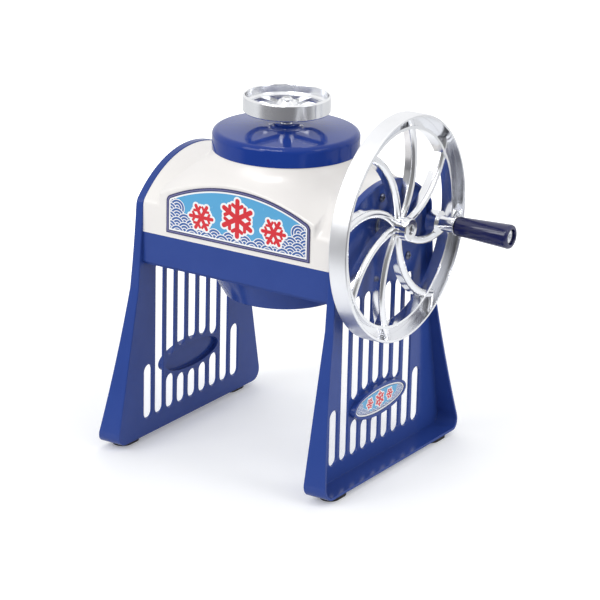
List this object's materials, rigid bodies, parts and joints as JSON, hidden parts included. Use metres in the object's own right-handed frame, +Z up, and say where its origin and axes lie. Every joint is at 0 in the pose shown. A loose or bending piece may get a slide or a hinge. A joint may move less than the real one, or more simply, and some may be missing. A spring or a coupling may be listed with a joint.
{
  "type": "hand crank ice shaver",
  "caption": "Hand-cranked ice shaver: slotted side frames carry a housing with a geared ice drum, a blade over a funnel, a crank wheel with grip and a screw-fed presser.",
  "frame": {"origin": "centre of the overall box at floor level, under the feet's plane", "axes": "+Z up along the feed spindle, +X along the crank axle towards the crank handle, -Y towards the front with the label"},
  "size_m": [0.358, 0.2583, 0.371],
  "materials": {
    "blue_plastic": "smooth moulded ABS, high gloss",
    "white_plastic": "smooth moulded ABS, warm white",
    "label_print": "printed plastic sheet",
    "rubber": "matt black",
    "chrome": "bright plated casting",
    "steel": "satin stainless",
    "nylon": "natural nylon",
    "drum_plastic": "pale food-safe plastic"
  },
  "bodies": {
    "housing": {"right_side_frame": "blue_plastic", "left_side_frame": "blue_plastic", "frame_screws": "chrome", "rubber_feet": "rubber", "right_badge": "label_print", "left_badge": "label_print", "base_tray": "blue_plastic", "upper_casing": "white_plastic", "front_label": "label_print", "funnel": "blue_plastic", "funnel_screws": "steel", "blade_table": "steel", "table_screws": "steel", "shaving_blade": "steel", "blade_screws": "steel", "drum_seat_ring": "nylon", "axle_bracket": "steel", "bracket_screws": "steel", "inner_bush": "steel", "outer_bush": "steel"},
    "crank": {"drive_axle": "steel", "bevel_pinion": "nylon", "pinion_pin": "steel", "axle_circlip": "steel", "axle_washer": "chrome", "crank_wheel_rim": "chrome", "crank_wheel_spider": "chrome", "wheel_screw": "chrome", "handle_bolt": "chrome", "handle_washer": "chrome"},
    "grip": {"handle_grip": "blue_plastic"},
    "drum": {"ice_drum": "drum_plastic", "ring_gear": "nylon", "ring_gear_screws": "steel"},
    "lid": {"lid": "blue_plastic", "spindle_nut": "blue_plastic", "nut_screws": "steel"},
    "feed_carrier": {"thrust_washer": "nylon"},
    "spindle": {"feed_spindle": "steel", "hand_wheel": "chrome", "hand_wheel_screw": "chrome", "presser_screw": "steel"},
    "presser": {"presser_plate": "steel"}
  },
  "joints": [
    {"name": "crank_spin", "type": "hinge", "parent": "housing", "child": "crank", "pos_m": [0, 0, 0.256], "axis": [1, 0, 0], "continuous": true},
    {"name": "grip_spin", "type": "hinge", "parent": "crank", "child": "grip", "pos_m": [0.14, 0.07854, 0.24187], "axis": [1, 0, 0], "continuous": true},
    {"name": "drum_spin", "type": "hinge", "parent": "housing", "child": "drum", "pos_m": [-0.04, 0, 0.25], "axis": [0, 0, 1], "continuous": true},
    {"name": "lid_lift", "type": "slide", "parent": "housing", "child": "lid", "axis": [0, 0, 1], "range_m": [0, 0.12]},
    {"name": "feed", "type": "slide", "parent": "lid", "child": "feed_carrier", "axis": [0, 0, 1], "range_m": [0, 0.078]},
    {"name": "hand_wheel_turn", "type": "hinge", "parent": "feed_carrier", "child": "spindle", "pos_m": [-0.04, 0, 0.3], "axis": [0, 0, 1], "range_deg": [0, 9360]},
    {"name": "presser_swivel", "type": "hinge", "parent": "feed_carrier", "child": "presser", "pos_m": [-0.04, 0, 0.22], "axis": [0, 0, 1], "continuous": true}
  ],
  "couplings": [
    {"joint": "drum_spin", "follows": "crank_spin", "ratio": -0.33333},
    {"joint": "feed", "follows": "hand_wheel_turn", "m_per_rad": 0.00047746}
  ]
}
